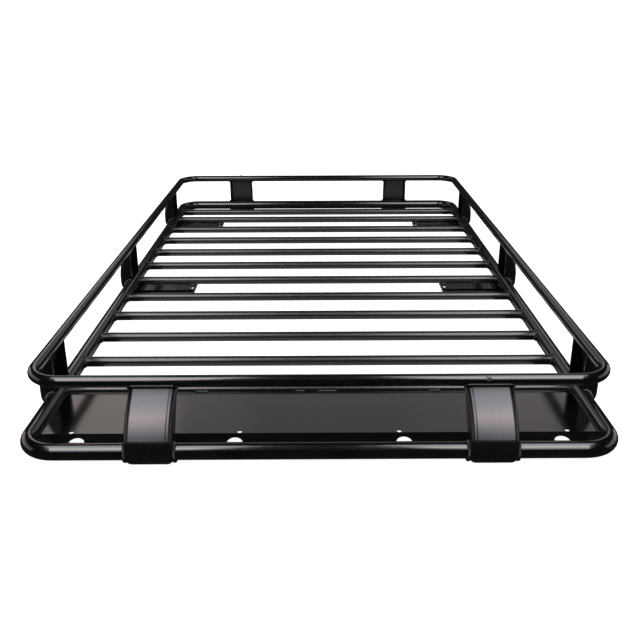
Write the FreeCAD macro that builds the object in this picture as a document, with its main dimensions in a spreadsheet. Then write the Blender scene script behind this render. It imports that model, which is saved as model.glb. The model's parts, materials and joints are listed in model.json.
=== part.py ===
# Roof cargo basket: a welded steel tube rack with a raised guard rail round it.
#
# +X is to the right, +Y to the rear of the vehicle and +Z up, in millimetres. The origin is in the middle
# of the rack, at the level of the undersides of its foot plates.
# The lower rail, the slats and the foot of every upright are measured from the rail plane, which is the
# plane of the lower rail's centreline.
import FreeCAD, Part
import math
import os

import Sketcher

DRIVING_SIZES = [
    # The two rails, over the outside of the lower one.
    ("rail_length", 2200),
    ("rail_width", 1250),
    ("rail_plane", 29),
    ("rail_rise", 121),
    ("front_set_back", 75),
    ("lower_tube", 36),
    ("lower_wall", 2),
    ("lower_corner", 65),
    ("upper_tube", 26),
    ("upper_wall", 1.6),
    ("upper_corner", 68),
    # Each rail is two bent halves that meet on a sleeve, over an end upright.
    ("joint_offset", 347),
    ("sleeve_length", 110),
    ("sleeve_wall", 2),
    ("sleeve_gap", 0.25),
    # Slats.
    ("slat_tube", 26),
    ("slat_wall", 1.6),
    ("slat_pitch", 161),
    ("front_bay", 279),
    ("last_slat_pitch", 135),
    # Uprights, pressed from sheet: a channel whose open side faces the rail.
    ("upright_width", 100),
    ("front_upright_width", 98),
    ("front_left_offset", 343),
    ("front_right_offset", 351),
    ("upright_sheet", 3),
    ("upright_bend", 13.5),
    ("side_bulge", 35),
    ("end_bulge", 30),
    ("upright_shoulder", 24),
    ("shoulder_bend", 26),
    ("shoulder_lean", 32),
    ("upright_drop", 24),
    ("lip_flat", 9),
    ("open_edge_inset", 5),
    ("weld_reach", 10),
    ("weld_drop", 6.5),
    ("head_drop", 11),
    # Foot plates, under the rail at each side upright.
    ("plate_length", 206),
    ("plate_width", 100),
    ("plate_thickness", 5),
    ("plate_corner", 8),
    ("plate_overhang", 4),
    ("bolt_hole", 11),
    ("bolt_hole_inset", 88),
    ("slot_inset", 190),
    ("slot_width", 9),
    ("slot_length", 24),
    # Front panel, a folded sheet between the first slat and the front of the lower rail.
    ("panel_sheet", 2),
    ("panel_gap", 0.4),
    ("panel_flat", 195),
    ("flange_reach", 57),
    ("flange_drop", 14.5),
    ("lamp_hole", 33),
    ("lamp_hole_from_fold", 27),
    ("lamp_hole_inner", 177),
    ("lamp_hole_outer", 507),
    ("pin_hole", 10.5),
    ("pin_hole_from_fold", 6),
    ("pin_hole_inner", 169),
    ("pin_hole_outer", 525),
    ("drain_hole", 7),
    ("drain_hole_offset", 483),
]

SLAT_COUNT = 12
UPRIGHT_SLATS = [0, 5, 10]
UP = FreeCAD.Vector(0, 0, 1)
CLOSE = 0.01  # two coordinates nearer than this, in millimetres, are the same

doc = FreeCAD.newDocument("RoofCargoBasket")
sheet = doc.addObject("Spreadsheet::Sheet", "Sizes")
for row, (alias, size) in enumerate(DRIVING_SIZES, start=1):
    sheet.set(f"A{row}", alias)
    sheet.set(f"B{row}", str(size))
    sheet.setAlias(f"B{row}", alias)
doc.recompute()

# Places that several pieces share, as expressions on the sheet.
HALF_WIDTH = "(Sizes.rail_width - Sizes.lower_tube) / 2"
HALF_LENGTH = "(Sizes.rail_length - Sizes.lower_tube) / 2"
UPPER_HALF_LENGTH = f"({HALF_LENGTH} - Sizes.front_set_back / 2)"
FIRST_SLAT = f"(Sizes.front_bay - {HALF_LENGTH})"
PANEL_REAR = f"({FIRST_SLAT} - Sizes.slat_tube / 2 - Sizes.panel_gap)"
FOLD = f"({PANEL_REAR} - Sizes.panel_flat)"


def value(expression):
    """The number that an expression on the sheet comes to."""
    return float(sheet.evalExpression(expression))


def point(x, y):
    return FreeCAD.Vector(x, y, 0)


def new_body(label):
    body = doc.addObject("PartDesign::Body", label)
    body.Label = label
    return body


def place(body, x="0", y="0", z="Sizes.rail_plane", turn=0):
    """Turns a body about +Z and moves it, with its place bound to the sheet."""
    position = FreeCAD.Vector(value(x), value(y), value(z))
    body.Placement = FreeCAD.Placement(position, FreeCAD.Rotation(UP, turn))
    body.setExpression("Placement.Base.x", x)
    body.setExpression("Placement.Base.y", y)
    body.setExpression("Placement.Base.z", z)


def new_sketch(body, plane_role, name):
    sketch = body.newObject("Sketcher::SketchObject", name)
    plane = [feature for feature in body.Origin.OriginFeatures if feature.Role == plane_role][0]
    sketch.AttachmentSupport = [(plane, "")]
    sketch.MapMode = "FlatFace"
    return sketch


def dimension(sketch, kind, *places, size):
    """Adds a dimension to a sketch and binds it to an expression."""
    index = sketch.addConstraint(Sketcher.Constraint(kind, *places, value(size)))
    sketch.setExpression(f"Constraints[{index}]", size)


def fix_point(sketch, geometry, end, x, y):
    """Dimensions one point of the geometry from the sketch's origin."""
    dimension(sketch, "DistanceX", -1, 1, geometry, end, size=x)
    dimension(sketch, "DistanceY", -1, 1, geometry, end, size=y)


def circle(sketch, diameter, x="0", y="0"):
    centre = point(value(x), value(y))
    index = sketch.addGeometry(Part.Circle(centre, UP, value(diameter) / 2), False)
    dimension(sketch, "Diameter", index, size=diameter)
    fix_point(sketch, index, 3, x, y)


def outline(sketch, corners):
    """A closed polygon whose corners are pairs of expressions."""
    spots = [point(value(x), value(y)) for x, y in corners]
    lines = []
    for start, end in zip(spots, spots[1:] + spots[:1]):
        lines.append(sketch.addGeometry(Part.LineSegment(start, end), False))
    for line, following in zip(lines, lines[1:] + lines[:1]):
        sketch.addConstraint(Sketcher.Constraint("Coincident", line, 2, following, 1))
    for line, (x, y) in zip(lines, corners):
        fix_point(sketch, line, 1, x, y)


def pad(body, sketch, length, name):
    feature = body.newObject("PartDesign::Pad", name)
    feature.Profile = sketch
    feature.Midplane = True
    feature.setExpression("Length", length)
    return feature


def pocket_through(body, sketch, name):
    """Cuts the sketch right through, both ways."""
    feature = body.newObject("PartDesign::Pocket", name)
    feature.Profile = sketch
    feature.Type = "ThroughAll"
    feature.Midplane = True
    return feature


def bent_half_rail(label, prefix, half_length, y, z, turn):
    """One half of a rail: a tube bent at two corners, from the front joint round one side to the rear joint.

    It is drawn about the middle of its own rail. The other half is the same piece turned end for end.
    """
    tube = f"Sizes.{prefix}_tube"
    corner = f"Sizes.{prefix}_corner"
    joint = "Sizes.joint_offset"
    body = new_body(label)

    path = new_sketch(body, "XY_Plane", f"{label}_path")
    width, length = value(HALF_WIDTH), value(half_length)
    radius, start = value(corner), value(joint)
    front_bend = Part.Circle(point(radius - width, radius - length), UP, radius)
    rear_bend = Part.Circle(point(radius - width, length - radius), UP, radius)
    quarter = math.pi / 2
    path.addGeometry(Part.LineSegment(point(start, -length), point(radius - width, -length)), False)
    path.addGeometry(Part.ArcOfCircle(front_bend, math.pi, math.pi + quarter), False)
    path.addGeometry(Part.LineSegment(point(-width, radius - length), point(-width, length - radius)), False)
    path.addGeometry(Part.ArcOfCircle(rear_bend, quarter, math.pi), False)
    path.addGeometry(Part.LineSegment(point(radius - width, length), point(-start, length)), False)
    for line, line_end, arc, arc_end in ((0, 2, 1, 2), (2, 1, 1, 1), (2, 2, 3, 2), (4, 1, 3, 1)):
        path.addConstraint(Sketcher.Constraint("Tangent", line, line_end, arc, arc_end))
    path.addConstraint(Sketcher.Constraint("Horizontal", 0))
    path.addConstraint(Sketcher.Constraint("Vertical", 2))
    path.addConstraint(Sketcher.Constraint("Horizontal", 4))
    path.addConstraint(Sketcher.Constraint("Equal", 1, 3))
    dimension(path, "Radius", 1, size=corner)
    fix_point(path, 0, 1, joint, f"-1 * {half_length}")
    fix_point(path, 4, 2, f"-1 * {joint}", half_length)
    dimension(path, "DistanceX", 2, 1, -1, 1, size=HALF_WIDTH)

    section = new_sketch(body, "YZ_Plane", f"{label}_section")
    section.setExpression("AttachmentOffset.Base.z", joint)
    circle(section, tube, f"-1 * {half_length}")
    circle(section, f"{tube} - 2 * Sizes.{prefix}_wall", f"-1 * {half_length}")

    pipe = body.newObject("PartDesign::AdditivePipe", f"{label}_tube")
    pipe.Profile = section
    pipe.Spine = (path, [])
    place(body, y=y, z=z, turn=turn)
    return body


def joint_sleeve(label, prefix, x, y, z):
    """The inner tube that joins the two halves of a rail."""
    outside = f"(Sizes.{prefix}_tube - 2 * Sizes.{prefix}_wall - 2 * Sizes.sleeve_gap)"
    body = new_body(label)
    section = new_sketch(body, "YZ_Plane", f"{label}_section")
    circle(section, outside)
    circle(section, f"{outside} - 2 * Sizes.sleeve_wall")
    pad(body, section, "Sizes.sleeve_length", f"{label}_tube")
    place(body, x=x, y=y, z=z)
    return body


def slat(index):
    """A cross tube, its ends notched to sit round the side rails."""
    label = f"slat_{index:02d}"
    body = new_body(label)
    section = new_sketch(body, "YZ_Plane", f"{label}_section")
    circle(section, "Sizes.slat_tube")
    circle(section, "Sizes.slat_tube - 2 * Sizes.slat_wall")
    pad(body, section, f"2 * {HALF_WIDTH}", f"{label}_tube")
    notch = new_sketch(body, "XZ_Plane", f"{label}_notch")
    circle(notch, "Sizes.lower_tube", HALF_WIDTH)
    circle(notch, "Sizes.lower_tube", f"-1 * {HALF_WIDTH}")
    pocket_through(body, notch, f"{label}_notches")
    place(body, y=slat_place(index))
    return body


def slat_place(index):
    last = SLAT_COUNT - 1
    if index == last:
        return f"{FIRST_SLAT} + Sizes.slat_pitch * {last - 1} + Sizes.last_slat_pitch"
    return f"{FIRST_SLAT} + Sizes.slat_pitch * {index}"


# The three shapes of upright, seen from the side. The front ones are the only ones with a bend at the shoulder,
# because the upper rail stands back from the lower one there. The lean is in degrees.
SIDE_UPRIGHT = {"width": "Sizes.upright_width", "bulge": "Sizes.side_bulge", "set_back": "0", "bend": "0",
                "lean": "0"}
REAR_UPRIGHT = {"width": "Sizes.upright_width", "bulge": "Sizes.end_bulge", "set_back": "0", "bend": "0",
                "lean": "0"}
FRONT_UPRIGHT = {"width": "Sizes.front_upright_width", "bulge": "Sizes.end_bulge",
                 "set_back": "Sizes.front_set_back", "bend": "Sizes.shoulder_bend",
                 "lean": "Sizes.shoulder_lean"}


def lean_radius(shape):
    """The radius of the arc that carries on upwards from the shoulder and ends at the upper rail."""
    bend, lean = shape["bend"], shape["lean"]
    across = f"(Sizes.weld_reach - {shape['set_back']} - {shape['bulge']} + {bend})"
    rise = "(Sizes.rail_rise - Sizes.weld_drop - Sizes.upright_shoulder)"
    along = f"({across} * cos({lean}) + {rise} * sin({lean}))"
    return f"(({across} ^ 2 + {rise} ^ 2 + {bend} ^ 2 - 2 * {bend} * {along}) / (2 * ({bend} - {along})))"


def web_curve(sketch, corner, face, bend, lean, radius, top):
    """Draws the lip, the turn round the rail, the straight face, its bend and the lean, up to the top point.

    An upright with no bend goes straight into the lean. Returns the number of the lean's arc.
    """
    lip_end = value("Sizes.lip_flat - Sizes.open_edge_inset")
    shoulder, web_face = value("Sizes.upright_shoulder"), value(face)
    turn_radius = web_face - lip_end
    lip = point(lip_end, corner.y)
    knee = point(web_face, corner.y + turn_radius)
    turn = Part.Circle(point(lip_end, knee.y), UP, turn_radius)
    turn_arc = Part.ArcOfCircle(turn, turn.parameter(lip), turn.parameter(knee))
    sketch.addGeometry(Part.LineSegment(corner, lip), False)
    sketch.addGeometry(turn_arc, False)
    sketch.addGeometry(Part.LineSegment(knee, point(web_face, shoulder)), False)

    angle = math.radians(value(lean))
    bend_centre = point(web_face - value(bend), shoulder)
    outwards = point(math.cos(angle), math.sin(angle))
    lean_circle = Part.Circle(bend_centre + outwards * (value(bend) - value(radius)), UP, value(radius))
    tangents = [(0, 2, 1, 1), (2, 1, 1, 2), (2, 2, 3, 1)]
    lean_arc = 3
    if value(bend) > 0:
        bend_circle = Part.Circle(bend_centre, UP, value(bend))
        sketch.addGeometry(Part.ArcOfCircle(bend_circle, 0, angle), False)
        tangents.append((3, 2, 4, 1))
        lean_arc = 4
    sketch.addGeometry(Part.ArcOfCircle(lean_circle, angle, lean_circle.parameter(top)), False)
    for first, first_end, second, second_end in tangents:
        sketch.addConstraint(Sketcher.Constraint("Tangent", first, first_end, second, second_end))
    sketch.addConstraint(Sketcher.Constraint("Horizontal", 0))
    sketch.addConstraint(Sketcher.Constraint("Vertical", 2))
    dimension(sketch, "DistanceX", -1, 1, 0, 2, size="Sizes.lip_flat - Sizes.open_edge_inset")
    fix_point(sketch, 2, 2, face, "Sizes.upright_shoulder")
    if lean_arc == 4:
        dimension(sketch, "Radius", 3, size=bend)
        dimension(sketch, "DistanceY", -1, 1, 3, 2, size=f"Sizes.upright_shoulder + {bend} * sin({lean})")
    return lean_arc


def close_behind_web(sketch, lean_arc, spots):
    """Joins the top of the web curve back to its first point through the given points."""
    for start, end in zip(spots, spots[1:]):
        sketch.addGeometry(Part.LineSegment(start, end), False)
    last = lean_arc + len(spots) - 1
    for first in range(lean_arc, last):
        sketch.addConstraint(Sketcher.Constraint("Coincident", first, 2, first + 1, 1))
    sketch.addConstraint(Sketcher.Constraint("Coincident", last, 2, 0, 1))


def upright_outline(sketch, shape):
    """The outside of an upright from the side: outwards is +x, up is +y, the lower rail is at the origin."""
    set_back = shape["set_back"]
    left, low = "-1 * Sizes.open_edge_inset", "-1 * Sizes.upright_drop"
    top_x, top_y = f"Sizes.weld_reach - {set_back}", "Sizes.rail_rise - Sizes.weld_drop"
    head_x, head_y = f"-1 * Sizes.open_edge_inset - {set_back}", "Sizes.rail_rise - Sizes.head_drop"
    heel_y = "Sizes.weld_reach"
    corner = point(value(left), value(low))
    top = point(value(top_x), value(top_y))
    head = point(value(head_x), value(head_y))
    heel = point(value(left), value(heel_y))
    lean_arc = web_curve(sketch, corner, shape["bulge"], shape["bend"], shape["lean"], lean_radius(shape), top)
    close_behind_web(sketch, lean_arc, [top, head, heel, corner])
    fix_point(sketch, 0, 1, left, low)
    fix_point(sketch, lean_arc, 2, top_x, top_y)
    fix_point(sketch, lean_arc + 1, 2, head_x, head_y)
    fix_point(sketch, lean_arc + 2, 2, left, heel_y)


def upright_hollow(sketch, shape):
    """The inside of an upright, one sheet's thickness in from the web and running out past the open edge."""
    sheet_size = "Sizes.upright_sheet"
    far, low = "-2 * Sizes.upright_width", f"{sheet_size} - Sizes.upright_drop"
    face = f"({shape['bulge']} - {sheet_size})"
    bend = "0" if shape["bend"] == "0" else f"({shape['bend']} - {sheet_size})"
    radius = f"({lean_radius(shape)} - {sheet_size})"
    end_x, roof = f"Sizes.weld_reach / 2 - {shape['set_back']}", "Sizes.rail_rise + Sizes.upper_tube"
    corner = point(value(far), value(low))
    angle = math.radians(value(shape["lean"]))
    centre_x = value(face) - value(bend) + (value(bend) - value(radius)) * math.cos(angle)
    centre_y = value("Sizes.upright_shoulder") + (value(bend) - value(radius)) * math.sin(angle)
    across = value(end_x) - centre_x
    end = point(value(end_x), centre_y + (value(radius) ** 2 - across ** 2) ** 0.5)
    above = point(end.x, value(roof))
    outside = point(corner.x, value(roof))
    lean_arc = web_curve(sketch, corner, face, bend, shape["lean"], radius, end)
    close_behind_web(sketch, lean_arc, [end, above, outside, corner])
    fix_point(sketch, 0, 1, far, low)
    dimension(sketch, "Radius", lean_arc, size=radius)
    dimension(sketch, "DistanceX", -1, 1, lean_arc, 2, size=end_x)
    fix_point(sketch, lean_arc + 1, 2, end_x, roof)
    fix_point(sketch, lean_arc + 2, 2, far, roof)


def web_edges(shape, half_width, low, face):
    """The edges along both sides of an upright's web, at half_width to either side."""
    chosen = []
    for number, edge in enumerate(shape.Edges, start=1):
        box = edge.BoundBox
        on_side = abs(abs(box.YMin) - half_width) < CLOSE and box.YLength < CLOSE
        bottom = box.ZLength < CLOSE and abs(box.ZMin - low) < CLOSE
        straight = box.XLength < CLOSE and abs(box.XMin - face) < CLOSE
        if on_side and (bottom or straight or edge.Curve.TypeId == "Part::GeomCircle"):
            chosen.append(f"Edge{number}")
    return chosen


def rounded_block(body, sketch, width, low, face, radius, name):
    """Pads a side view to its full width and rounds both sides of its web."""
    block = pad(body, sketch, width, f"{name}_block")
    doc.recompute()
    bends = body.newObject("PartDesign::Fillet", f"{name}_bends")
    bends.Base = (block, web_edges(block.Shape, value(width) / 2, value(low), value(face)))
    bends.setExpression("Radius", radius)


def upright(label, x, y, turn, shape):
    """A pressed channel that wraps the lower rail and carries the upper one, notched round both."""
    outside = new_body(f"{label}_outside")
    outline_view = new_sketch(outside, "XZ_Plane", f"{label}_outline")
    upright_outline(outline_view, shape)
    rounded_block(outside, outline_view, shape["width"], "-1 * Sizes.upright_drop", shape["bulge"],
                  "Sizes.upright_bend", f"{label}_outside")
    rails = new_sketch(outside, "XZ_Plane", f"{label}_rails")
    circle(rails, "Sizes.lower_tube")
    circle(rails, "Sizes.upper_tube", f"-1 * {shape['set_back']}", "Sizes.rail_rise")
    pocket_through(outside, rails, f"{label}_notches")

    inside = new_body(f"{label}_inside")
    hollow_view = new_sketch(inside, "XZ_Plane", f"{label}_hollow")
    upright_hollow(hollow_view, shape)
    rounded_block(inside, hollow_view, f"{shape['width']} - 2 * Sizes.upright_sheet",
                  "Sizes.upright_sheet - Sizes.upright_drop", f"{shape['bulge']} - Sizes.upright_sheet",
                  "Sizes.upright_bend - Sizes.upright_sheet", f"{label}_inside")

    channel = doc.addObject("Part::Cut", label)
    channel.Label = label
    channel.Base = outside
    channel.Tool = inside
    place(channel, x=x, y=y, turn=turn)
    return channel


def foot_plate(label, x, y, turn):
    """A flat plate under the rail and the upright's lip, reaching inwards, for the mounting legs."""
    body = new_body(label)
    inner = "Sizes.plate_overhang - Sizes.plate_length"
    half = "Sizes.plate_width / 2"
    plan = new_sketch(body, "XY_Plane", f"{label}_plan")
    outline(plan, [("Sizes.plate_overhang", f"-1 * {half}"), ("Sizes.plate_overhang", half),
                   (inner, half), (inner, f"-1 * {half}")])
    plate = body.newObject("PartDesign::Pad", f"{label}_plate")
    plate.Profile = plan
    plate.Reversed = True
    plate.setExpression("Length", "Sizes.plate_thickness")
    doc.recompute()
    corners = body.newObject("PartDesign::Fillet", f"{label}_corners")
    inner_edge = value(inner)
    upright_edges = []
    for number, edge in enumerate(plate.Shape.Edges, start=1):
        box = edge.BoundBox
        if box.ZLength > CLOSE and abs(box.XMin - inner_edge) < CLOSE and box.YLength < CLOSE:
            upright_edges.append(f"Edge{number}")
    corners.Base = (plate, upright_edges)
    corners.setExpression("Radius", "Sizes.plate_corner")
    doc.recompute()
    holes = new_sketch(body, "XY_Plane", f"{label}_holes")
    circle(holes, "Sizes.bolt_hole", "-1 * Sizes.bolt_hole_inset")
    slot_outline(holes, "-1 * Sizes.slot_inset", "Sizes.slot_width", "Sizes.slot_length")
    pocket_through(body, holes, f"{label}_bolt_holes")
    place(body, x=x, y=y, z="Sizes.rail_plane - Sizes.upright_drop", turn=turn)
    return body


def slot_outline(sketch, x, width, length):
    """A slot along y, centred on the x axis."""
    centre, radius = value(x), value(width) / 2
    run = value(length) / 2 - radius
    far_end = Part.Circle(point(centre, run), UP, radius)
    near_end = Part.Circle(point(centre, -run), UP, radius)
    first = sketch.addGeometry(Part.ArcOfCircle(far_end, 0, math.pi), False)
    sketch.addGeometry(Part.LineSegment(point(centre - radius, run), point(centre - radius, -run)), False)
    sketch.addGeometry(Part.ArcOfCircle(near_end, math.pi, 2 * math.pi), False)
    sketch.addGeometry(Part.LineSegment(point(centre + radius, -run), point(centre + radius, run)), False)
    for side in range(4):
        following = first + (side + 1) % 4
        sketch.addConstraint(Sketcher.Constraint("Tangent", first + side, 2, following, 1))
    dimension(sketch, "Diameter", first, size=width)
    fix_point(sketch, first, 3, x, f"({length} - {width}) / 2")
    fix_point(sketch, first + 2, 3, x, f"({width} - {length}) / 2")


def corner_outside(sketch, side, edge, front, radius):
    """Outlines what lies outside a rounded front corner of the panel: an arc closed by a square beyond it."""
    centre = point(side * (edge - radius), front + radius)
    on_side, on_front = point(side * edge, centre.y), point(centre.x, front)
    bend = Part.Circle(centre, UP, radius)
    start, end = (on_side, on_front) if side < 0 else (on_front, on_side)
    sketch.addGeometry(Part.ArcOfCircle(bend, bend.parameter(start), bend.parameter(end)), False)
    beyond_front = point(centre.x, front - radius)
    far = point(side * (edge + radius), front - radius)
    spots = [on_front, beyond_front, far, point(far.x, centre.y), on_side]
    if side > 0:
        spots.reverse()
    for first, second in zip(spots, spots[1:]):
        sketch.addGeometry(Part.LineSegment(first, second), False)
    for line in range(4):
        sketch.addConstraint(Sketcher.Constraint("Coincident", line, 2, line + 1, 1))
    sketch.addConstraint(Sketcher.Constraint("Coincident", 4, 2, 0, 1))


def front_panel():
    """The folded sheet behind the front of the lower rail, drilled for driving lamps."""
    body = new_body("front_panel")
    reach, drop = "Sizes.flange_reach", "Sizes.flange_drop"
    half_sheet = "Sizes.panel_sheet / 2"
    side_view = new_sketch(body, "YZ_Plane", "front_panel_side_view")
    outline(side_view, [
        (PANEL_REAR, half_sheet), (FOLD, half_sheet),
        (f"{FOLD} - {reach}", f"{half_sheet} - {drop}"),
        (f"{FOLD} - {reach}", f"-1 * {half_sheet} - {drop}"),
        (FOLD, f"-1 * {half_sheet}"), (PANEL_REAR, f"-1 * {half_sheet}"),
    ])
    inner_half = f"({HALF_WIDTH} - Sizes.lower_tube / 2 - Sizes.panel_gap)"
    pad(body, side_view, f"2 * {inner_half}", "front_panel_sheet")

    corner_radius = "Sizes.lower_corner - Sizes.lower_tube / 2 - Sizes.panel_gap"
    panel_front = f"(Sizes.lower_tube / 2 + Sizes.panel_gap - {HALF_LENGTH})"
    for side in (-1, 1):
        corner = new_sketch(body, "XY_Plane", f"front_panel_corner_{side + 1}")
        corner_outside(corner, side, value(inner_half), value(panel_front), value(corner_radius))
        dimension(corner, "Radius", 0, size=corner_radius)
        fix_point(corner, 0, 3, f"{side} * ({inner_half} - ({corner_radius}))",
                  f"{panel_front} + {corner_radius}")
        pocket_through(body, corner, f"front_panel_corner_cut_{side + 1}")

    holes = new_sketch(body, "XY_Plane", "front_panel_holes")
    for side in ("-1", "1"):
        for place_name in ("inner", "outer"):
            circle(holes, "Sizes.lamp_hole", f"{side} * Sizes.lamp_hole_{place_name}",
                   f"{FOLD} - Sizes.lamp_hole_from_fold")
            circle(holes, "Sizes.pin_hole", f"{side} * Sizes.pin_hole_{place_name}",
                   f"{FOLD} + Sizes.pin_hole_from_fold")
    circle(holes, "Sizes.drain_hole", "-1 * Sizes.drain_hole_offset",
           f"{FOLD} - Sizes.lamp_hole_from_fold")
    pocket_through(body, holes, "front_panel_lamp_holes")
    place(body)
    return body


parts = []

LOWER_PLANE = "Sizes.rail_plane"
UPPER_PLANE = "Sizes.rail_plane + Sizes.rail_rise"
UPPER_MIDDLE = "Sizes.front_set_back / 2"
for side, turn in (("left", 0), ("right", 180)):
    parts.append(bent_half_rail(f"lower_rail_{side}", "lower", HALF_LENGTH, "0", LOWER_PLANE, turn))
    parts.append(bent_half_rail(f"upper_rail_{side}", "upper", UPPER_HALF_LENGTH, UPPER_MIDDLE,
                                UPPER_PLANE, turn))

FRONT = f"-1 * {HALF_LENGTH}"
JOINT = "Sizes.joint_offset"
parts.append(joint_sleeve("lower_sleeve_front", "lower", JOINT, FRONT, LOWER_PLANE))
parts.append(joint_sleeve("lower_sleeve_rear", "lower", f"-1 * {JOINT}", HALF_LENGTH, LOWER_PLANE))
parts.append(joint_sleeve("upper_sleeve_front", "upper", JOINT, f"{FRONT} + Sizes.front_set_back",
                          UPPER_PLANE))
parts.append(joint_sleeve("upper_sleeve_rear", "upper", f"-1 * {JOINT}", HALF_LENGTH, UPPER_PLANE))

for index in range(SLAT_COUNT):
    parts.append(slat(index))

parts.append(front_panel())

for side, sign, turn in (("left", "-1", 180), ("right", "1", 0)):
    rail_side = f"{sign} * {HALF_WIDTH}"
    for number, index in enumerate(UPRIGHT_SLATS, start=1):
        parts.append(upright(f"upright_{side}_{number}", rail_side, slat_place(index), turn, SIDE_UPRIGHT))
        parts.append(foot_plate(f"foot_plate_{side}_{number}", rail_side, slat_place(index), turn))
    parts.append(upright(f"upright_front_{side}", f"{sign} * Sizes.front_{side}_offset", FRONT, -90,
                         FRONT_UPRIGHT))
    parts.append(upright(f"upright_rear_{side}", f"{sign} * {JOINT}", HALF_LENGTH, 90, REAR_UPRIGHT))

doc.recompute()
for thing in doc.Objects:
    if "Invalid" in thing.State or "Error" in thing.State:
        raise RuntimeError(f"{thing.Label} did not recompute: {thing.State}")
for body in parts:
    if body.Shape.isNull() or not body.Shape.isValid() or len(body.Shape.Solids) != 1:
        raise RuntimeError(f"{body.Label} is not one valid solid")

os.makedirs("parts", exist_ok=True)
for body in parts:
    body.Shape.exportStep(f"parts/{body.Label}.step")
    print(f"{body.Label}: {body.Shape.Volume / 1000:.1f} cm3")
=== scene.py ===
# %% [markdown]
# # A roof cargo basket in black powder coat
# The real object is a rack for the roof of a large vehicle. It is welded from bent steel tube, straight
# slats, pressed sheet uprights and a folded front panel, and then powder coated in gloss black.
# The tubes and sheets come from the CAD model, and they stay as they are. This script gives them their
# finish, adds the weld beads, which the CAD model leaves out, and sets up the studio.

import json
import math

import bmesh
import bpy
from mathutils import Matrix, Vector


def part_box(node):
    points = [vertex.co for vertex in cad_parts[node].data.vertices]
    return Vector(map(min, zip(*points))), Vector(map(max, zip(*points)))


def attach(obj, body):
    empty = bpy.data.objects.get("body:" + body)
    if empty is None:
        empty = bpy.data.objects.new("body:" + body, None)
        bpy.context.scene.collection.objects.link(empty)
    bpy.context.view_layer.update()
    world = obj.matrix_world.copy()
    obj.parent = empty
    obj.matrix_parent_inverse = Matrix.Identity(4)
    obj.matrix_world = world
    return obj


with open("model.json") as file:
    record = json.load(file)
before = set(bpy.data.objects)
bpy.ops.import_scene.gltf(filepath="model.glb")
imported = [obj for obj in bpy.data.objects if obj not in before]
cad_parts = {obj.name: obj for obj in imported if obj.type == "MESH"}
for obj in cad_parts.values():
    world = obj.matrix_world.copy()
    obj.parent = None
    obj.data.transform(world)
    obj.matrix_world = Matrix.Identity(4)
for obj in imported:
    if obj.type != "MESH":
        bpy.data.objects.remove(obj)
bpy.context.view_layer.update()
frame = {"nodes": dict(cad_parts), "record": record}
nodes = frame["nodes"]

# %% [markdown]
# The welds go where pieces meet, so the places of the tubes are read from the CAD pieces themselves. A tube's
# radius is half the height of its box, and its centreline runs through the middle of that height.

# %% Measure the tubes
MM = 0.001


def tube(node):
    """The radius of a level tube and the height of its centreline."""
    low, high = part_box(node)
    return (high.z - low.z) / 2, (high.z + low.z) / 2


LOWER_RADIUS, LOWER_HEIGHT = tube("lower_rail_left")
UPPER_RADIUS, UPPER_HEIGHT = tube("upper_rail_left")
SLAT_RADIUS, SLAT_HEIGHT = tube("slat_00")
RAIL_SIDE = -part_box("lower_rail_left")[0].x - LOWER_RADIUS
RAIL_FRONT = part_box("lower_rail_left")[0].y + LOWER_RADIUS
RAIL_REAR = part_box("lower_rail_left")[1].y - LOWER_RADIUS
SET_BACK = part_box("upper_rail_left")[0].y + UPPER_RADIUS - RAIL_FRONT
RISE = UPPER_HEIGHT - LOWER_HEIGHT
SLATS = sorted(n for n in nodes if n.startswith("slat"))
SLAT_PLACES = [(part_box(n)[0].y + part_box(n)[1].y) / 2 for n in SLATS]
print("rail side", round(RAIL_SIDE, 4), "front", round(RAIL_FRONT, 4), "rear", round(RAIL_REAR, 4))
print("set back", round(SET_BACK, 4), "rise", round(RISE, 4), "slats", len(SLATS))

# %% [markdown]
# ## Colour and nodes
# Paint colours are known by the values a screen shows, and Blender's sockets take light, which is linear. One
# function turns the first into the second. Another adds a node, sets its values and links it, so that each
# finish below reads as a short list.

# %% Helpers for the finishes


def colour(hex_value):
    """A screen colour such as 1a1a1b, as linear red, green, blue and alpha."""
    parts = [int(hex_value[i:i + 2], 16) / 255 for i in (0, 2, 4)]
    return tuple(c / 12.92 if c <= 0.04045 else ((c + 0.055) / 1.055) ** 2.4 for c in parts) + (1.0,)


def add(material, kind, settings=None, **inputs):
    """Adds a node. Settings go on the node. Each input is a plain value or the output that feeds it, and goes
    by its name or by its number, such as _3."""
    tree = material.node_tree
    node = tree.nodes.new(kind)
    for name, setting in (settings or {}).items():
        setattr(node, name, setting)
    for name, given in inputs.items():
        socket = node.inputs[int(name[1:])] if name[1:].isdigit() else node.inputs[name.replace("_", " ")]
        if isinstance(given, bpy.types.NodeSocket):
            tree.links.new(given, socket)
        else:
            socket.default_value = given
    return node


def new_material(name):
    """An empty material with its output node, and the coordinates of the piece."""
    material = bpy.data.materials.new(name)
    material.use_nodes = True
    material.node_tree.nodes.clear()
    output = add(material, "ShaderNodeOutputMaterial")
    place = add(material, "ShaderNodeTexCoord").outputs["Object"]
    return material, output, place


def shades(material, pattern, dark, light, start=0.35, end=0.65):
    """A colour that runs between two screen colours as the pattern's value rises."""
    ramp = add(material, "ShaderNodeValToRGB", Fac=pattern)
    ramp.color_ramp.elements[0].position = start
    ramp.color_ramp.elements[1].position = end
    ramp.color_ramp.elements[0].color = colour(dark)
    ramp.color_ramp.elements[1].color = colour(light)
    return ramp.outputs["Color"]


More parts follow.
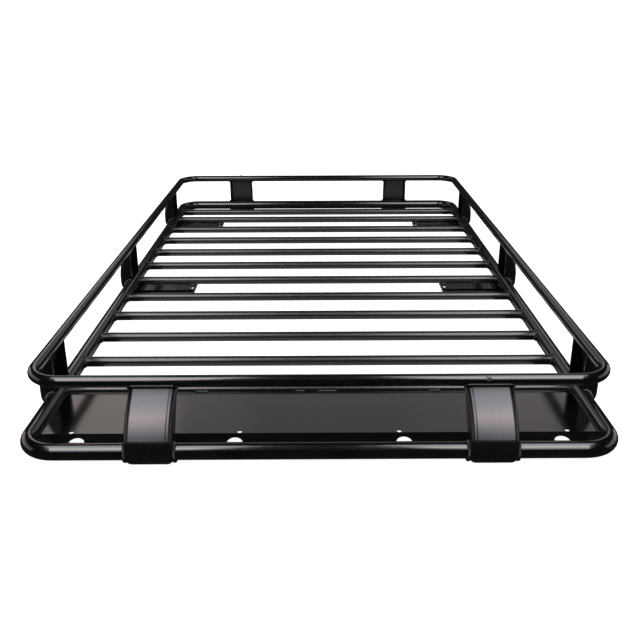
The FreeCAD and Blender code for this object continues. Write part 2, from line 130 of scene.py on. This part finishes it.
# %% [markdown]
# ## Powder coat on the tubes, slats and foot plates
# Powder coat is polyester resin sprayed as dry powder and melted in an oven. It flows out to a gloss skin
# about 0.08 mm thick whose surface keeps faint waves, called orange peel, 3 to 6 mm from crest to crest.
# The eye reads three things: a near-black body, sharp but slightly wavy reflections, and small changes in
# gloss. So the colour drifts a little over a few centimetres, the roughness drifts over one or two, and a bump
# draws the waves. The thin slats heat up fast in the oven and cure a little less glossy than the rails.

# %% Powder coat
POLYESTER_IOR = 1.5


def coat(material, output, body, roughness, normal):
    """Finishes a material as a coat of polyester, with the given body colour, roughness and surface normal."""
    paint = add(material, "ShaderNodeBsdfPrincipled", IOR=POLYESTER_IOR, Base_Color=body,
                Roughness=roughness.outputs["Result"], Normal=normal.outputs["Normal"])
    material.node_tree.links.new(paint.outputs["BSDF"], output.inputs["Surface"])
    return material


def powder_coat(name, dark, light, gloss, gloss_drift, peel_mm, peel_height_mm):
    """A gloss skin. Gloss is the lowest roughness, and the drift is how much higher it goes in places."""
    material, output, place = new_material(name)
    drift = add(material, "ShaderNodeTexNoise", Vector=place, Scale=1 / (45 * MM), Detail=3.0)
    haze = add(material, "ShaderNodeTexNoise", Vector=place, Scale=1 / (16 * MM), Detail=2.0)
    peel = add(material, "ShaderNodeTexNoise", Vector=place, Scale=1 / (peel_mm * MM), Detail=1.0)
    roughness = add(material, "ShaderNodeMapRange", Value=haze.outputs["Fac"],
                    _3=gloss, _4=gloss + gloss_drift)
    waves = add(material, "ShaderNodeBump", Height=peel.outputs["Fac"], Distance=peel_height_mm * MM)
    return coat(material, output, shades(material, drift.outputs["Fac"], dark, light), roughness, waves)


tube_coat = powder_coat("powder_coat_gloss_black_tube", "060607", "0b0b0b", 0.11, 0.07, 5.0, 0.03)
slat_coat = powder_coat("powder_coat_gloss_black_slat", "060607", "0b0b0b", 0.24, 0.08, 5.0, 0.02)
plate_coat = powder_coat("powder_coat_gloss_black_plate", "060606", "090909", 0.12, 0.04, 9.0, 0.01)
print("made", tube_coat.name, slat_coat.name, "and", plate_coat.name)

# %% [markdown]
# ## Powder coat on the pressed uprights
# An upright's face was linished, which is a pass over a belt that runs up and down the sheet. The powder fills
# the scratches only in part, so the gloss on these faces breaks into fine upright streaks.
# The streaks are noise that stays fine across the upright, and is drawn out in both directions that the sheet
# bends through. Across is along X for the uprights at the ends of the rack, and along Y for the ones on its
# sides. The real scratches are well under 1 mm apart, and are drawn 1.5 mm apart so that they show.

# %% Linished coat


def linished_coat(name, stretch):
    material, output, place = new_material(name)
    drift = add(material, "ShaderNodeTexNoise", Vector=place, Scale=1 / (40 * MM), Detail=3.0)
    along = add(material, "ShaderNodeMapping", Vector=place, Scale=stretch)
    streaks = add(material, "ShaderNodeTexNoise", Vector=along.outputs["Vector"], Scale=1 / (1.5 * MM),
                  Detail=2.0)
    roughness = add(material, "ShaderNodeMapRange", Value=streaks.outputs["Fac"], _3=0.25, _4=0.32)
    grooves = add(material, "ShaderNodeBump", Height=streaks.outputs["Fac"], Distance=0.003 * MM)
    return coat(material, output, shades(material, drift.outputs["Fac"], "060607", "0a0a0b"), roughness,
                grooves)


end_upright_coat = linished_coat("powder_coat_over_linished_sheet_across_x", (1.0, 0.01, 0.01))
side_upright_coat = linished_coat("powder_coat_over_linished_sheet_across_y", (0.01, 1.0, 0.01))
print("made", end_upright_coat.name, "and", side_upright_coat.name)

# %% [markdown]
# ## Powder coat on the folded panel
# A large flat sheet shows the smoothest skin, almost a mirror at a low angle. Rolling and welding leave it
# not quite flat, so reflections in it bend slowly over about 150 mm. A wide, very shallow bump gives that, and
# the orange peel is fainter than on the tubes.

# %% Panel coat


def panel_coat_on_sheet(name):
    material, output, place = new_material(name)
    drift = add(material, "ShaderNodeTexNoise", Vector=place, Scale=1 / (120 * MM), Detail=2.0)
    haze = add(material, "ShaderNodeTexNoise", Vector=place, Scale=1 / (25 * MM), Detail=3.0)
    buckle = add(material, "ShaderNodeTexNoise", Vector=place, Scale=1 / (150 * MM), Detail=0.0)
    peel = add(material, "ShaderNodeTexNoise", Vector=place, Scale=1 / (6 * MM), Detail=1.0)
    roughness = add(material, "ShaderNodeMapRange", Value=haze.outputs["Fac"], _3=0.10, _4=0.18)
    rolling = add(material, "ShaderNodeBump", Height=buckle.outputs["Fac"], Distance=1.2 * MM)
    waves = add(material, "ShaderNodeBump", Height=peel.outputs["Fac"], Distance=0.008 * MM,
                Normal=rolling.outputs["Normal"])
    return coat(material, output, shades(material, drift.outputs["Fac"], "080707", "0c0b0b"), roughness,
                waves)


panel_coat = panel_coat_on_sheet("powder_coat_gloss_black_sheet")
print("made", panel_coat.name)

# %% [markdown]
# ## Bare steel inside the rails
# The sleeves that join the rail halves are drawn steel tube, and no powder reaches them. Drawing leaves fine
# lines along the tube, and a dull grey-brown oxide.

# %% Drawn steel


def drawn_steel(name):
    material, output, place = new_material(name)
    along = add(material, "ShaderNodeMapping", Vector=place, Scale=(0.05, 1.0, 1.0))
    lines = add(material, "ShaderNodeTexNoise", Vector=along.outputs["Vector"], Scale=1 / (1.5 * MM),
                Detail=3.0)
    roughness = add(material, "ShaderNodeMapRange", Value=lines.outputs["Fac"], _3=0.35, _4=0.6)
    steel = add(material, "ShaderNodeBsdfPrincipled", Metallic=1.0,
                Base_Color=shades(material, lines.outputs["Fac"], "6f6a64", "8f8a84"),
                Roughness=roughness.outputs["Result"])
    material.node_tree.links.new(steel.outputs["BSDF"], output.inputs["Surface"])
    return material


sleeve_steel = drawn_steel("drawn_steel_bare")
print("made", sleeve_steel.name)

# %% [markdown]
# ## Which finish goes where
# The record names a finish for each piece. Only the uprights need two kinds, because of their streaks.

# %% Give each CAD piece its finish
FINISHES = {"rail_tube": tube_coat, "slat_tube": slat_coat, "upright_sheet": side_upright_coat,
            "foot_plate": plate_coat, "front_panel": panel_coat, "joint_sleeve": sleeve_steel}
for part in frame["record"]["subparts"]:
    piece = nodes[part["node"]]
    if not piece.material_slots:
        piece.data.materials.append(None)
    at_end = part["node"].startswith(("upright_front", "upright_rear"))
    for slot in piece.material_slots:
        slot.material = end_upright_coat if at_end else FINISHES[part["material_slot"]]

# %% [markdown]
# ## Weld beads
# A MIG weld is a row of small overlapping puddles, so a bead is a round string with a ripple every 2 to 3 mm.
# Each bead here is first laid out straight along X: a small circle is drawn out in short steps, every ring is
# swelled or pinched for its ripple, and the ends taper off. It is then bent round a tube, or moved into place.
# Modelling it straight first keeps the ripples even whatever shape the joint has.

# %% Lay a straight bead
RIPPLE = 3.0 * MM
STEPS_PER_RIPPLE = 4
FEWEST_STEPS = 6
SHALLOW_RIPPLE, DEEP_RIPPLE = 0.16, 0.25  # of the bead's radius
END_SIZE = 0.35  # of the full radius, at the very tip
TAPER_LENGTH = 1.5  # in radii


def lay_bead(length, radius, ripple_depth=SHALLOW_RIPPLE):
    """A rippled bead along +X from the origin, as a mesh of its own."""
    bead = bmesh.new()
    turn = Matrix.Rotation(math.radians(90), 4, "Y")
    bmesh.ops.create_circle(bead, segments=8, radius=radius, matrix=turn)
    steps = max(FEWEST_STEPS, round(STEPS_PER_RIPPLE * length / RIPPLE))
    bmesh.ops.spin(bead, geom=bead.edges[:], cent=(0, 0, 0), axis=(1, 0, 0), dvec=(length / steps, 0, 0),
                   angle=0, steps=steps)
    bmesh.ops.holes_fill(bead, edges=[edge for edge in bead.edges if edge.is_boundary])
    for vertex in bead.verts:
        from_end = max(0.0, min(vertex.co.x, length - vertex.co.x))
        taper = END_SIZE + (1 - END_SIZE) * min(1.0, from_end / (TAPER_LENGTH * radius)) ** 0.5
        swell = taper * (1 + ripple_depth * math.cos(2 * math.pi * vertex.co.x / RIPPLE))
        vertex.co.y *= swell
        vertex.co.z *= swell
    return bead


def wrap_bead(bead, radius, start):
    """Bends a straight bead into an arc about the Y axis. The start angle is measured up from +X."""
    for vertex in bead.verts:
        angle = start + vertex.co.x / radius
        reach = radius + vertex.co.z
        vertex.co = Vector((reach * math.cos(angle), vertex.co.y, reach * math.sin(angle)))


def join(mesh, bead):
    """Moves a bead's mesh into a larger one."""
    data = bpy.data.meshes.new("bead")
    bead.to_mesh(data)
    bead.free()
    mesh.from_mesh(data)
    bpy.data.meshes.remove(data)


def finish_piece(mesh, name, material):
    """Turns a finished bmesh into a piece that rides on the rack."""
    bmesh.ops.recalc_face_normals(mesh, faces=mesh.faces)
    data = bpy.data.meshes.new(name)
    mesh.to_mesh(data)
    mesh.free()
    data.polygons.foreach_set("use_smooth", [True] * len(data.polygons))
    data.materials.append(material)
    piece = bpy.data.objects.new(name, data)
    bpy.context.scene.collection.objects.link(piece)
    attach(piece, "root")
    print(name, len(data.polygons), "faces")
    return piece


# %% [markdown]
# The weld metal is under the same coat as the tubes. Powder runs thin on crests and pools in valleys, so the
# beads are glossier than the tubes beside them, and a little uneven.

# %% Coat over the welds
weld_coat = powder_coat("powder_coat_over_weld", "080809", "121112", 0.12, 0.12, 2.5, 0.10)
print("made", weld_coat.name)

# %% [markdown]
# ## Beads round the slat ends
# Each slat's end is notched to fit the side rail, and the bead follows that saddle-shaped joint. A ring is
# wrapped round the slat, and then every vertex slides along X until it lies on the rail's round surface.

# %% Weld the slats to the side rails
SLAT_BEAD = 2.4 * MM
STAND_OFF, FAR_STAND_OFF = 0.3, 0.4  # from the metal to the middle of a bead, in bead radii


def on_rail(height):
    """How far a point at this height on the rail's skin stands in from the rail's centreline."""
    skin = LOWER_RADIUS + FAR_STAND_OFF * SLAT_BEAD
    return math.sqrt(max(0.0, skin ** 2 - (height - LOWER_HEIGHT) ** 2))


def weld_slat_ends():
    mesh = bmesh.new()
    ring_radius = SLAT_RADIUS + STAND_OFF * SLAT_BEAD
    quarter = Matrix.Rotation(math.radians(90), 4, "Z")
    for y in SLAT_PLACES:
        for side in (-1, 1):
            bead = lay_bead(2 * math.pi * ring_radius, SLAT_BEAD)
            wrap_bead(bead, ring_radius, math.radians(-90))
            place = Matrix.Translation((0, y, SLAT_HEIGHT)) @ quarter
            bmesh.ops.transform(bead, matrix=place, verts=bead.verts)
            for vertex in bead.verts:
                vertex.co.x += side * (RAIL_SIDE - on_rail(vertex.co.z))
            join(mesh, bead)
    return finish_piece(mesh, "weld_slat_ends", weld_coat)


weld_slat_ends()

# %% [markdown]
# ## Beads on the uprights
# An upright is welded along both of its side walls where they wrap the lower rail, along the same walls under
# the upper rail, and straight across its top edge. They are all made in the upright's own frame, where X points
# outwards, and then turned to the side that it stands on.

# %% Where the uprights stand
UPRIGHT_SLATS = (0, 5, 10)  # the slats that the side uprights stand level with
UPRIGHTS = {}  # the rail's place across and along the rack, the turn, the set-back and half the width
for side, sign, turn in (("left", -1, 180), ("right", 1, 0)):
    for number, index in enumerate(UPRIGHT_SLATS, start=1):
        low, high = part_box(f"upright_{side}_{number}")
        UPRIGHTS[f"upright_{side}_{number}"] = (sign * RAIL_SIDE, SLAT_PLACES[index], turn, 0,
                                                (high.y - low.y) / 2)
for name in ("upright_front_left", "upright_front_right", "upright_rear_left", "upright_rear_right"):
    low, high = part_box(name)
    at_front = "front" in name
    UPRIGHTS[name] = ((low.x + high.x) / 2, RAIL_FRONT if at_front else RAIL_REAR,
                      -90 if at_front else 90, SET_BACK if at_front else 0, (high.x - low.x) / 2)
print(len(UPRIGHTS), "uprights")

# %% [markdown]
# Two shapes of bead are enough here: an arc that follows a tube, and a run between two points. Both start as
# the straight bead from above, so their ripples match.

# %% Two shapes of bead


def arc_bead(tube_radius, angles, across, centre, bead_radius):
    """A bead on a tube that runs along Y, from one angle to the other in degrees, at one side wall."""
    start, end = (math.radians(angle) for angle in angles)
    radius = tube_radius + STAND_OFF * bead_radius
    bead = lay_bead(radius * (end - start), bead_radius, DEEP_RIPPLE)
    wrap_bead(bead, radius, start)
    bmesh.ops.translate(bead, vec=(centre[0], across, centre[1]), verts=bead.verts)
    return bead


def straight_bead(start, end, bead_radius):
    """A bead from one point to another."""
    run = Vector(end) - Vector(start)
    bead = lay_bead(run.length, bead_radius)
    aim = Vector((1, 0, 0)).rotation_difference(run).to_matrix().to_4x4()
    bmesh.ops.transform(bead, matrix=Matrix.Translation(start) @ aim, verts=bead.verts)
    return bead


# %% [markdown]
# The bead on the lower rail wraps more than half of it. The one on the upper rail is shorter, because the sheet
# reaches only its lower side. The top bead lies a little higher on the rail where the upright leans back.

# %% Weld an upright
UPRIGHT_BEAD = 2.6 * MM
LOWER_BEAD = 3.8 * MM
TOP_BEAD = 1.25 * UPRIGHT_BEAD
TOP_BEAD_SHARE = 0.94  # of the upright's width
TOP_BEAD_ANGLE, LEANING_TOP_BEAD_ANGLE = -32, -22
LOWER_WELD = (-100, 102)  # degrees round the rail, up from straight outwards
UPPER_WELD = (-108, -30)


def weld_upright(mesh, x, y, turn, set_back, half_wall):
    """The beads of one upright: across its top, and down both side walls at the two rails."""
    lean = math.radians(LEANING_TOP_BEAD_ANGLE if set_back else TOP_BEAD_ANGLE)
    reach = UPPER_RADIUS + 0.5 * UPRIGHT_BEAD
    top_x, top_z = reach * math.cos(lean) - set_back, RISE + reach * math.sin(lean)
    half_top = TOP_BEAD_SHARE * half_wall
    beads = [straight_bead((top_x, -half_top, top_z), (top_x, half_top, top_z), TOP_BEAD)]
    for side in (-1, 1):
        wall = side * (half_wall + STAND_OFF * LOWER_BEAD)
        beads.append(arc_bead(LOWER_RADIUS, LOWER_WELD, wall, (0, 0), LOWER_BEAD))
        wall = side * (half_wall + STAND_OFF * UPRIGHT_BEAD)
        beads.append(arc_bead(UPPER_RADIUS, UPPER_WELD, wall, (-set_back, RISE), UPRIGHT_BEAD))
    stand = Matrix.Translation((x, y, LOWER_HEIGHT)) @ Matrix.Rotation(math.radians(turn), 4, "Z")
    for bead in beads:
        bmesh.ops.transform(bead, matrix=stand, verts=bead.verts)
        join(mesh, bead)


def weld_uprights(name, chosen):
    mesh = bmesh.new()
    for upright in chosen:
        weld_upright(mesh, *UPRIGHTS[upright])
    return finish_piece(mesh, name, weld_coat)


weld_uprights("weld_end_uprights", [n for n in UPRIGHTS if "front" in n or "rear" in n])
weld_uprights("weld_side_uprights", [n for n in UPRIGHTS if "front" not in n and "rear" not in n])

# %% [markdown]
# ## Stitch welds round the front panel
# A thin sheet would warp if it were welded all along, so it is held by short stitches: four along the first
# slat, and one on each side rail close to that slat.

# %% Stitch the panel
STITCH_BEAD = 2.2 * MM
STITCHES_ALONG_SLAT = [(-290, -258), (-57, -33), (-4, 42), (255, 285)]  # mm from the middle
SIDE_STITCH = (8, 30)  # mm from the slat


def stitch_panel():
    mesh = bmesh.new()
    panel_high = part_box("front_panel")[1]
    height = panel_high.z + FAR_STAND_OFF * STITCH_BEAD
    rear = panel_high.y - FAR_STAND_OFF * STITCH_BEAD
    for start, end in STITCHES_ALONG_SLAT:
        join(mesh, straight_bead((start * MM, rear, height), (end * MM, rear, height), STITCH_BEAD))
    start, end = (rear - reach * MM for reach in SIDE_STITCH)
    for side in (-1, 1):
        edge = side * (panel_high.x - STAND_OFF * STITCH_BEAD)
        join(mesh, straight_bead((edge, start, height), (edge, end, height), STITCH_BEAD))
    return finish_piece(mesh, "weld_panel_stitches", weld_coat)


stitch_panel()

# %% [markdown]
# ## Plug welds on the upper rail
# The two halves of the upper rail meet on an inner sleeve. A hole through the outer tube was filled with weld to
# catch the sleeve, and it leaves a small dome. Its profile is a few points, spun about its own axis. The front
# one is turned forwards from the top of the tube, and the rear one is on top.

# %% Plug welds
PLUG_PROFILE = [(0.0, 1.9), (1.8, 1.7), (3.4, 0.7), (4.4, 0.5), (5.2, 0.8), (6.0, -1.2)]  # mm out, mm up
FRONT_PLUG_HEIGHT = math.radians(35)


def plug_weld(centre, outwards):
    """A dome with a raised rim, standing on a tube's skin."""
    dome = bmesh.new()
    profile = [dome.verts.new((reach * MM, 0, height * MM)) for reach, height in PLUG_PROFILE]
    for pair in zip(profile, profile[1:]):
        dome.edges.new(pair)
    bmesh.ops.spin(dome, geom=dome.verts[:] + dome.edges[:], cent=(0, 0, 0), axis=(0, 0, 1),
                   angle=2 * math.pi, steps=24, use_merge=True)
    bmesh.ops.remove_doubles(dome, verts=dome.verts, dist=0.01 * MM)
    aim = Vector((0, 0, 1)).rotation_difference(outwards).to_matrix().to_4x4()
    bmesh.ops.transform(dome, matrix=Matrix.Translation(centre) @ aim, verts=dome.verts)
    return dome


def plug_welds():
    mesh = bmesh.new()
    joint = UPRIGHTS["upright_rear_right"][0]
    front_out = Vector((0, -math.cos(FRONT_PLUG_HEIGHT), math.sin(FRONT_PLUG_HEIGHT)))
    rear_out = Vector((0, 0, 1))
    front = Vector((joint, RAIL_FRONT + SET_BACK, UPPER_HEIGHT)) + UPPER_RADIUS * front_out
    rear = Vector((-joint, RAIL_REAR, UPPER_HEIGHT)) + UPPER_RADIUS * rear_out
    join(mesh, plug_weld(front, front_out))
    join(mesh, plug_weld(rear, rear_out))
    return finish_piece(mesh, "weld_joint_plugs", weld_coat)


plug_welds()

# %% [markdown]
# ## Foot plate welds
# Each foot plate is welded to the lip of its upright twice: along its outer edge, and on top a little further
# in.

# %% Weld the foot plates
PLATE_BEAD = 2.2 * MM
PLATE_BEAD_INSET = 8 * MM  # from the corners of the plate
BEAD_SPACING = 10 * MM
OUTER_STAND_OFF, TOP_STAND_OFF = 0.5 * MM, 0.8 * MM


def weld_foot_plates():
    mesh = bmesh.new()
    for number in (1, 2, 3):
        for side, sign in (("left", -1), ("right", 1)):
            low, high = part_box(f"foot_plate_{side}_{number}")
            outer = sign * max(abs(low.x), abs(high.x)) + sign * OUTER_STAND_OFF
            inner = outer - sign * BEAD_SPACING
            start, end = low.y + PLATE_BEAD_INSET, high.y - PLATE_BEAD_INSET
            for x, z in ((outer, 0.5 * (low.z + high.z)), (inner, high.z + TOP_STAND_OFF)):
                join(mesh, straight_bead((x, start, z), (x, end, z), PLATE_BEAD))
    return finish_piece(mesh, "weld_foot_plates", weld_coat)


weld_foot_plates()

# %% [markdown]
# ## Studio floor
# The rack stands on a plain pale floor, wide enough to fill every view. The floor glows, so that it stays white
# under the rack too. It is kept out of the reflections, which the lights below draw instead.

# %% Floor
FLOOR_REACH = 40  # metres either way
FLOOR_DROP = 0.5 * MM  # so that it doesn't touch the foot plates
FLOOR_GLOW = 1.08


def pale_floor():
    mesh = bmesh.new()
    bmesh.ops.create_grid(mesh, x_segments=1, y_segments=1, size=FLOOR_REACH)
    bmesh.ops.translate(mesh, vec=(0, 0, -FLOOR_DROP), verts=mesh.verts)
    data = bpy.data.meshes.new("studio_floor")
    mesh.to_mesh(data)
    mesh.free()
    material, output, place = new_material("matt_white_paper")
    fibres = add(material, "ShaderNodeTexNoise", Vector=place, Scale=4.0, Detail=2.0)
    white = shades(material, fibres.outputs["Fac"], "f2f2f2", "f4f4f4")
    paper = add(material, "ShaderNodeBsdfPrincipled", Roughness=0.9, Base_Color=white,
                Emission_Color=white, Emission_Strength=FLOOR_GLOW)
    material.node_tree.links.new(paper.outputs["BSDF"], output.inputs["Surface"])
    data.materials.append(material)
    floor = bpy.data.objects.new("studio_floor", data)
    floor.visible_glossy = False
    bpy.context.scene.collection.objects.link(floor)


pale_floor()
print("floor", 2 * FLOOR_REACH, "m across")

# %% [markdown]
# ## Light
# Gloss black shows almost nothing but what it reflects, so the lights are placed as shapes to be seen in the
# paint. One function makes every light.

# %% Softboxes


def softbox(name, place, target, width, height, radiance, tint="ffffff"):
    """A rectangular light that faces its target. Radiance is its brightness, where white paper shows as 1."""
    light = bpy.data.lights.new(name, "AREA")
    light.shape = "RECTANGLE"
    light.size, light.size_y = width, height
    light.energy = 4 * radiance * width * height
    light.color = colour(tint)[:3]
    lamp = bpy.data.objects.new(name, light)
    lamp.location = place
    lamp.rotation_mode = "QUATERNION"
    lamp.rotation_quaternion = (Vector(place) - Vector(target)).to_track_quat("Z", "Y")
    lamp.visible_camera = False
    bpy.context.scene.collection.objects.link(lamp)
    return lamp


# %% [markdown]
# ## Two arches
# A row of softboxes arches over the rack on each side, from in front of it to just behind. They draw the bright
# bands on the faces of the front uprights and on the ends of the tubes. Each box reaches from its inner edge to
# the same outer edge. Between the two arches it is dark, which keeps the middle of the tubes black.

# %% Arches of softboxes
ARCH_RADIUS = 3.2
ARCH_OUTER = 2.0
# from and to which height in degrees, inner edge in metres, radiance and tint
ARCH = [(31, 44, 0.95, 3.5, "f3f4ff"), (44, 57, 0.7, 6.5, "f6f4ff"), (57, 68, 0.6, 11.0, "ffeae4"),
        (68, 80, 0.52, 7.4, "f6f4ff"), (80, 100, 0.42, 5.7, "f3f4ff"), (100, 112, 0.95, 3.4, "f3f4ff")]
for side, name in ((-1, "left"), (1, "right")):
    for number, (start, end, inner, radiance, tint) in enumerate(ARCH):
        middle, spread = math.radians((start + end) / 2), math.radians((end - start) / 2)
        hub = Vector((side * (inner + ARCH_OUTER) / 2, RAIL_FRONT, LOWER_HEIGHT))
        out = Vector((0, -math.cos(middle), math.sin(middle)))
        box = softbox(f"arch_{name}_{number}", hub + ARCH_RADIUS * out, hub, ARCH_OUTER - inner,
                      2 * ARCH_RADIUS * math.tan(spread), radiance, tint)
        box.visible_diffuse = False
print("made two arches of", len(ARCH), "softboxes")

# %% [markdown]
# ## Cards
# Low cards behind give the soft grey on the panel and the tops of the side rails. A card under the rack stands
# for the pale floor in the undersides of the slats.

# %% Cards
# from and to which place across the rack, radiance and tint
CARDS = [(-2.4, -1.2, 1.2, "fff2ec"), (-1.2, -0.6, 0.5, "fffafa"), (-0.6, 0.8, 0.42, "fffafc"),
         (0.8, 1.3, 0.46, "fffafc"), (1.3, 2.4, 0.66, "fff8f4")]
CARD_PLACE, CARD_AIM = (3.3, 2.3), (-0.95, 0.03)  # along the rack and up
for number, (start, end, radiance, tint) in enumerate(CARDS):
    middle = (start + end) / 2
    card = softbox(f"card_behind_{number}", (middle, *CARD_PLACE), (middle, *CARD_AIM), end - start, 2.0,
                   radiance, tint)
    card.visible_diffuse = False
for side, name in ((-1, "left"), (1, "right")):
    card = softbox(f"card_{name}", (side * 4.5, 0.5, 1.0), (0, 0, 0.3), width=6.0, height=2.0, radiance=0.9,
                   tint="fff6ee")
    card.visible_diffuse = False
card = softbox("card_below", (0, 0, -0.3 * MM), (0, 0, 1.0), width=1.1, height=2.0, radiance=0.6)
card.visible_diffuse = False
print("made", len(CARDS) + 3, "cards")

# %% [markdown]
# A wide light overhead evens out the floor. It is kept out of the reflections, where it would lie over the
# black coat as a grey veil.

# %% Overhead light
floor_light = softbox("floor_light", (0, 0, 9.0), (0, 0, 0), width=40.0, height=40.0, radiance=0.5)
floor_light.visible_glossy = False
print("made", floor_light.name)

# %% [markdown]
# ## World
# The world is white where the camera looks past the floor, and nearly black as the paint sees it.

# %% World
SEEN_WORLD, REFLECTED_WORLD = 1.05, 0.03


def dim_world():
    """Two backgrounds, and a switch that knows whether the camera is looking."""
    world = bpy.data.worlds.new("studio")
    world.use_nodes = True
    world.node_tree.nodes.clear()
    path = add(world, "ShaderNodeLightPath")
    pale = add(world, "ShaderNodeBackground", Color=colour("ffffff"), Strength=SEEN_WORLD)
    dim = add(world, "ShaderNodeBackground", Color=colour("ffffff"), Strength=REFLECTED_WORLD)
    mix = add(world, "ShaderNodeMixShader", _0=path.outputs["Is Camera Ray"], _1=dim.outputs["Background"],
              _2=pale.outputs["Background"])
    add(world, "ShaderNodeOutputWorld", Surface=mix.outputs["Shader"])
    bpy.context.scene.world = world


dim_world()
print("world", SEEN_WORLD, "to the camera and", REFLECTED_WORLD, "to the paint")

# %% [markdown]
# ## Camera
# A slightly long lens, 2.5 m in front of the rack's middle and 0.86 m up, looks down on it.

# %% Camera
CAMERA_PLACE = (-0.0023, -2.4761, 0.8624)
CAMERA_ANGLES = (68.503, 0.181, -0.238)  # degrees
lens = bpy.data.cameras.new("camera")
lens.lens, lens.sensor_width = 44.44, 36.0  # mm
camera = bpy.data.objects.new("camera", lens)
camera.location = CAMERA_PLACE
camera.rotation_euler = [math.radians(angle) for angle in CAMERA_ANGLES]
bpy.context.scene.collection.objects.link(camera)
bpy.context.scene.camera = camera
bpy.context.scene.view_settings.view_transform = "Standard"
print("camera at", CAMERA_PLACE)
